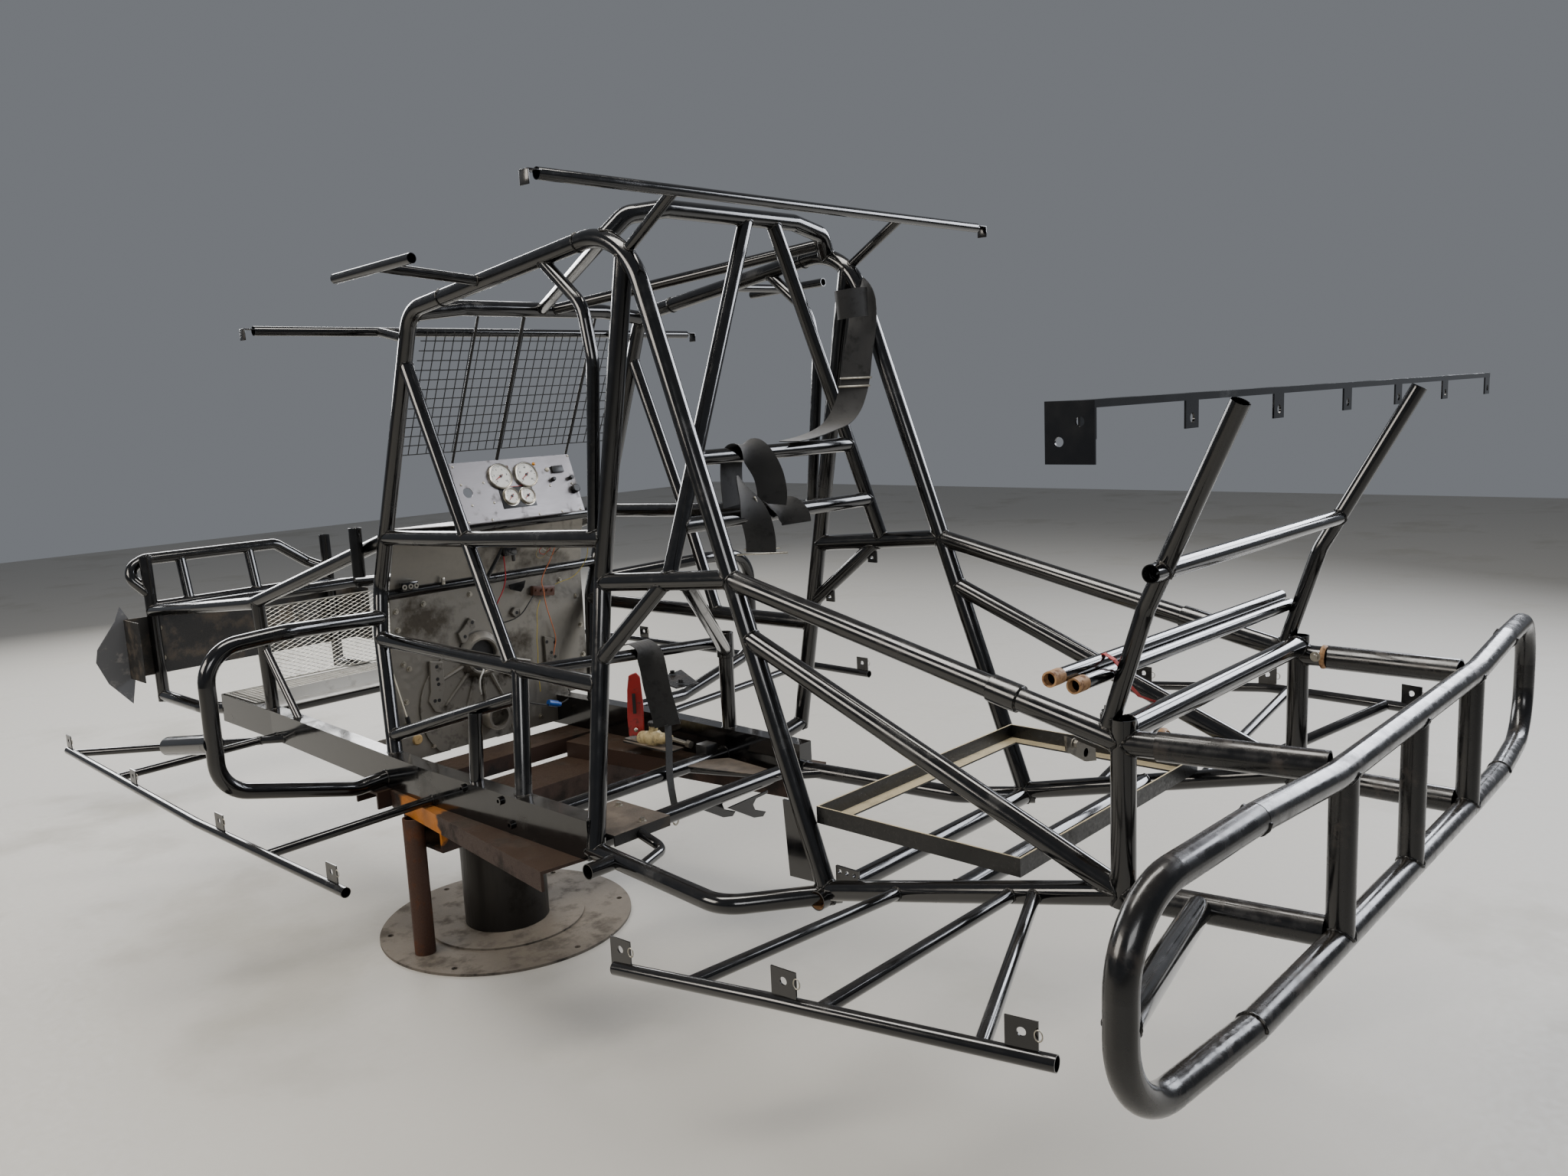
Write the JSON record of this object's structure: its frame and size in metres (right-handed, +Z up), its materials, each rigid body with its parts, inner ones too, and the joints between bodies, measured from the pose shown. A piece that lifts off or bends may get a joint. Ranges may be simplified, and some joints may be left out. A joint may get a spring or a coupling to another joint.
{
  "type": "dirt-track stock car chassis on an in-floor lift",
  "caption": "Bare welded tube chassis of a dirt-track stock car with roll cage, side guard bars and rear bumper loop, without wheels, engine or body, held on a single-ram in-floor lift.",
  "frame": {"origin": "on the workshop floor, half way along the car's length, in the middle plane of the roll cage", "axes": "+Z up, -Y the car's front, +X the car's left side"},
  "size_m": [2.1144, 4.5244, 2.0432],
  "materials": {
    "gloss_black": "gloss black enamel on steel tube, chipped and dusty in places",
    "dusty_black": "black paint dulled by brown dust",
    "bright_aluminium": "brushed sheet, lightly scratched",
    "stained_aluminium": "grey sheet stained by oil and heat",
    "gauge_plastic": "white faces in bright bezels",
    "grey_plastic": "scuffed flexible sheet",
    "black_webbing": "woven nylon webbing",
    "red_paint": "red anodised or painted lever, worn",
    "rusty_steel": "rust-brown rolled steel with paint remains",
    "oily_steel": "dark oily steel with rust"
  },
  "bodies": {
    "root": {"a_pillars": "gloss_black", "b_pillars": "gloss_black", "brackets": "gloss_black", "bumper_arms": "gloss_black", "bumper_ends": "gloss_black", "bumper_runs": "gloss_black", "bumper_uprights": "gloss_black", "c_pillars": "gloss_black", "cage_cross_tubes": "gloss_black", "clip_cross_tubes": "gloss_black", "clip_diagonals": "gloss_black", "clip_lowers": "gloss_black", "clip_posts": "gloss_black", "clip_tubes": "gloss_black", "clip_uppers": "gloss_black", "dash_gauges": "gauge_plastic", "dash_panel": "bright_aluminium", "deck_cross_tubes": "gloss_black", "deck_posts": "gloss_black", "deck_rail": "gloss_black", "door_diagonals": "gloss_black", "door_mid_bars": "gloss_black", "firewall": "stained_aluminium", "floor_lever": "red_paint", "frame_rails": "gloss_black", "front_hoop": "gloss_black", "front_posts": "gloss_black", "front_subframe_tubes": "gloss_black", "front_upper_rails": "gloss_black", "front_uprights": "gloss_black", "fuel_cell_cradle": "dusty_black", "hanging_strap": "black_webbing", "harness_belts": "black_webbing", "hook_tube": "gloss_black", "lift_bolster": "rusty_steel", "lift_channels": "rusty_steel", "lift_columns": "oily_steel", "lift_cross_beam": "rusty_steel", "lift_floor_collar": "oily_steel", "nose_flap": "grey_plastic", "nose_sheet": "dusty_black", "rail_cross_members": "gloss_black", "rail_end_tubes": "gloss_black", "rail_platform": "dusty_black", "rail_posts": "gloss_black", "rock_screen": "bright_aluminium", "roof_braces": "gloss_black", "roof_mount_arms": "gloss_black", "roof_mount_bars": "gloss_black", "roof_rails": "gloss_black", "screen_tray": "bright_aluminium", "seat_back_legs": "gloss_black", "side_braces": "gloss_black", "side_guard_bars": "gloss_black", "side_supports": "gloss_black", "stub_sockets": "gloss_black", "support_arms": "gloss_black", "waist_bars": "gloss_black", "window_frame_tubes": "gloss_black", "windscreen_guard": "gloss_black"}
  },
  "joints": []
}
